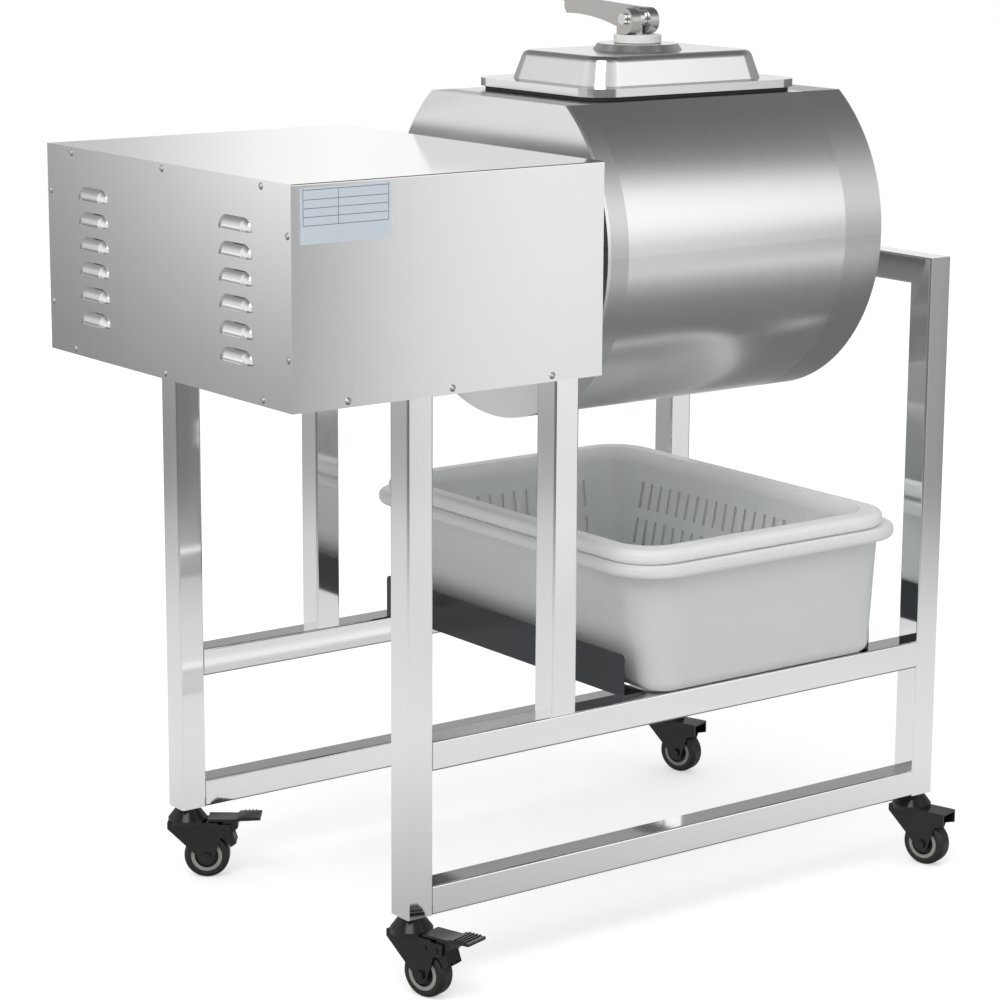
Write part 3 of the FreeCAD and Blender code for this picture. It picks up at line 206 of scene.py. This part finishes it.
def drumSteel():
    # brushed round the drum, duller bands at both ends and a bright weld line at the left edge
    low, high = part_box("drum_shell")
    made = Finish("drumSatin", Metallic=1.0)
    x = made.parts(made.place())[0]
    bands = (x < low[0] + drum["leftBand"]) + (x > high[0] - drum["rightBand"])
    weld = x < low[0] + drum["weld"]
    lines = made.noise(drum["fine"], 4.0, 0.6, drum["stretch"])
    clouds = made.noise(grain["cloud"], 2.0)
    tone = made.blend(clouds * 0.5 + lines * 0.5, shade(drum["dark"]), shade(drum["light"]))
    tone = made.blend(bands * drum["bandShare"], tone, shade(drum["bandTone"]))
    tone = made.blend(weld, tone, shade(drum["weldTone"]))
    rough = lines * drum["spread"] + bands * drum["bandRoughness"] + drum["roughness"]
    finishes["drumSatin"] = made.set(Base_Color=tone, Roughness=rough,
                                     Normal=made.bump(lines, drum["depth"]))


plate = {"lines": (0.017, 0.025, 0.033, 0.041, 0.050), "inset": 0.003, "upright": 0.042,
         "width": 0.0004, "roughness": 0.4, "dark": (0.62, 0.69, 0.75, 1),
         "light": (0.68, 0.75, 0.81, 1), "ink": (0.22, 0.26, 0.32, 1)}


def plateRules():
    # pale plate with a ruled grid: a frame, level lines and one upright
    low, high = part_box("rating_plate")
    made = Finish("plateBlue", Roughness=plate["roughness"])
    x, _, z = made.parts(made.place())
    width, inset = plate["width"], plate["inset"]
    first, *others = (low[2] + height for height in plate["lines"])
    last = others[-1]
    lines = abs(z - first) < width
    for height in others:
        lines = lines + (abs(z - height) < width)
    inside = (x > low[0] + inset) * (x < high[0] - inset)
    upright = (abs(x - (low[0] + plate["upright"])) < width) * (z < last) * (z > first)
    ends = (abs(x - (low[0] + inset)) < width) + (abs(x - (high[0] - inset)) < width)
    ends = ends * (z > first)
    drawn = lines * inside + upright + ends
    ink = drawn.join("MINIMUM", drawn, 1.0)
    tone = made.blend(made.noise(grain["mottle"]), plate["dark"], plate["light"])
    finishes["plateBlue"] = made.set(Base_Color=made.blend(ink, tone, plate["ink"]))


hub = {"core": 0.0165, "mottle": 60.0, "roughness": 0.36, "spread": 0.1, "depth": 0.00003,
       "ring": ((0.30, 0.30, 0.27, 1), (0.38, 0.38, 0.35, 1)),
       "black": ((0.010, 0.010, 0.011, 1), (0.020, 0.020, 0.021, 1))}
nodeFinish = {"lower_beams": "polishedBeam", "mid_beams": "polishedBeam",
              "right_top_beam": "polishedRail"}


def wheelHub(corner):
    # black middle round the axle, warm grey ring outside it
    low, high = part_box(corner + "_hub")
    middle = tuple((a + b) / 2 for a, b in zip(low, high))
    made = Finish(corner + "Hub")
    away = made.node("VectorMath", {"operation": "DISTANCE"}, {0: made.place(), 1: middle}, 1)
    mottle = made.noise(hub["mottle"])
    ring, core = made.blend(mottle, *hub["ring"]), made.blend(mottle, *hub["black"])
    finishes[corner + "Hub"] = made.set(Base_Color=made.blend(away < hub["core"], ring, core),
                                        Roughness=mottle * hub["spread"] + hub["roughness"],
                                        Normal=made.bump(mottle, hub["depth"]))
    nodeFinish[corner + "_hub"] = corner + "Hub"


drumSteel()
plateRules()
for corner in ("front_left", "front_right", "back_left", "back_right"):
    wheelHub(corner)
print("finishes made:", len(finishes))

slotFinish = {
    "polished_tube": "polishedTube", "satin_sheet": "satinSheet", "drum_steel": "drumSatin",
    "lid_steel": "lidPolish", "lever_steel": "leverCast", "rail_steel": "railDark",
    "bright_screw": "brightPlate", "black_coat": "glossBlack", "black_rubber": "matteBlack",
    "tyre_black": "tyreBlack", "white_nylon": "whiteNylon",
    "tub_white": "tubWhite", "plate_blue": "plateBlue", "cast_grey": "castGrey",
    "motor_paint": "motorEnamel", "pipe_copper": "copper", "belt_rubber": "beltRubber",
    "black_plastic": "blackPlastic", "red_plastic": "redPlastic",
}
for part in frame["record"]["subparts"]:
    wanted = nodeFinish.get(part["node"]) or slotFinish[part["material_slot"]]
    mesh = nodes[part["node"]].data
    mesh.materials.clear()
    mesh.materials.append(finishes[wanted])
print("frame nodes finished")


# ---- studio

# What polished metal sees: front, left, back and sides go by the compass angle, the others by the
# sine of the height, from under the horizon to overhead.
studio = {"floorSize": 9.0, "floorTone": 0.82, "floorGlow": 0.50, "fill": 0.66,
          "low": ((-0.72, 0.10), (-0.50, 0.16), (-0.34, 0.45), (-0.29, 0.78), (-0.25, 0.70),
                  (-0.21, 0.0)),
          "front": ((-64, 0.10), (-59, 0.10), (-56.7, 0.5), (-54.8, 0.85), (-52, 1.0), (-49, 0.85),
                    (-45, 0.30), (-42, 0.12)),
          "left": ((60, 0.0), (116, 0.10), (118.7, 0.20), (120.7, 0.50), (122.5, 0.90), (128, 0.90),
                   (133, 0.35), (142, 0.30)),
          "frontLevel": ((-0.25, 0.0), (-0.215, 0.78), (-0.165, 0.86), (-0.105, 0.95), (0.0, 0.95),
                         (0.05, 0.0)),
          "leftLevel": ((-0.25, 0.0), (-0.22, 0.40), (-0.19, 0.24), (-0.16, 0.42), (-0.10, 1.0),
                        (0.0, 1.0), (0.05, 0.0)),
          "sides": ((-180, 0.70), (-132, 0.70), (-124, 0.85), (-66, 0.85), (-60, 1.0), (-46, 1.0),
                    (-41, 0.22), (36, 0.22), (62, 0.18), (114, 0.26), (126, 0.70), (180, 0.70)),
          "rise": ((-0.02, 0.0), (0.06, 0.9), (0.18, 1.0), (0.38, 1.0), (0.66, 0.40), (0.85, 0.08)),
          "back": ((38, 0.0), (46, 0.70), (54, 0.80), (57, 0.85), (60.5, 0.36), (66, 0.1)),
          "backLevel": ((0.0, 0.0), (0.05, 0.9), (0.16, 0.9), (0.23, 0.12), (0.3, 0.0)),
          "overhead": 0.09, "brightest": 1.2}
lampBox = {"power": 55.0, "size": 2.4, "place": (-2.2, -1.6, 3.4), "target": (0, 0, 0.5)}
# where the camera stands, and its turn from the front, tilt and roll in degrees
view = {"lens": 110.84, "sensor": 36.0, "reach": 100.0, "place": (-1.9445, -2.5638, 1.1333),
        "turns": (-36.822, 12.329, 0.336)}


def compass(x, y):
    # share of a full turn, 0.5 towards +X
    return y.join("ARCTAN2", y, x) * (0.5 / math.pi) + 0.5


def seenBy(made, *rays):
    # one value per kind of ray, 1 where the ray is of that kind
    path = made.node("LightPath").socket.node
    return [Sum(made, path.outputs["Is " + ray + " Ray"]) for ray in rays]


def makeFloor():
    bm = bmesh.new()
    bmesh.ops.create_grid(bm, x_segments=1, y_segments=1, size=studio["floorSize"] / 2)
    mesh = bpy.data.meshes.new("studioFloor")
    bm.to_mesh(mesh)
    floor = bpy.data.objects.new("studioFloor", mesh)
    bpy.context.scene.collection.objects.link(floor)
    made = Finish("studioFloor", Roughness=0.9)
    camera, polish, clear = seenBy(made, "Camera", "Glossy", "Transmission")
    cloth = made.noise(2.0, 2.0)
    tone = studio["floorTone"]
    made.set(Base_Color=made.blend(cloth, shade(tone - 0.01), shade(tone)))
    glow = (camera + polish + clear) * studio["floorGlow"]
    glow = made.node("Emission", {}, {"Color": shade(1.0), "Strength": glow})
    both = made.node("AddShader", {}, {0: Sum(made, made.shader.outputs[0]), 1: glow})
    output = made.tree.nodes["Material Output"]
    made.tree.links.new(both.socket, output.inputs["Surface"])
    mesh.materials.append(made.owner)
    floor.visible_glossy = False


def makeWorld():
    world = bpy.data.worlds.new("studioWorld")
    bpy.context.scene.world = world
    made = Finish("studioWorld", world)
    camera, polish, clear = seenBy(made, "Camera", "Glossy", "Transmission")
    seen = camera + clear
    x, y, z = made.parts(made.node("TexCoord", output="Generated"))
    turn = compass(x, y)
    height = z * 0.5 + 0.5

    def around(name):
        return made.ramp(turn, [(0.5 + angle / 360, tone) for angle, tone in studio[name]])

    def upward(name):
        return made.ramp(height, [(0.5 + 0.5 * sine, tone) for sine, tone in studio[name]])

    level = upward("low") + around("front") * upward("frontLevel")
    level = level + around("left") * upward("leftLevel") + around("back") * upward("backLevel")
    level = level + around("sides") * upward("rise") * studio["brightest"] + studio["overhead"]
    back = made.tree.nodes["Background"]
    made.feed(back.inputs["Strength"], seen + polish * level + (1 - seen - polish) * studio["fill"])
    made.feed(back.inputs["Color"], shade(1.0))


def makeLamp():
    lamp = bpy.data.lights.new("keyLamp", "AREA")
    lamp.energy, lamp.size = lampBox["power"], lampBox["size"]
    lamp.specular_factor = 0.0
    made = bpy.data.objects.new("keyLamp", lamp)
    bpy.context.scene.collection.objects.link(made)
    made.location = lampBox["place"]
    towards = Vector(lampBox["target"]) - Vector(lampBox["place"])
    made.rotation_euler = towards.to_track_quat("-Z", "Y").to_euler()


def makeCamera():
    lens = bpy.data.cameras.new("camera")
    lens.lens, lens.sensor_width, lens.clip_end = view["lens"], view["sensor"], view["reach"]
    camera = bpy.data.objects.new("camera", lens)
    bpy.context.scene.collection.objects.link(camera)
    azimuth, elevation, roll = map(math.radians, view["turns"])
    back = Vector((math.sin(azimuth) * math.cos(elevation),
                   -math.cos(azimuth) * math.cos(elevation), math.sin(elevation)))
    right = Vector((math.cos(azimuth), math.sin(azimuth), 0))
    up = back.cross(right)
    turned = right * math.cos(roll) + up * math.sin(roll)
    up = up * math.cos(roll) - right * math.sin(roll)
    camera.matrix_world = Matrix.Translation(view["place"]) @ Matrix(
        (turned, up, back)).transposed().to_4x4()
    bpy.context.scene.camera = camera


makeFloor()
makeWorld()
makeLamp()
makeCamera()
bpy.context.scene.view_settings.view_transform = "Standard"
print("studio made")
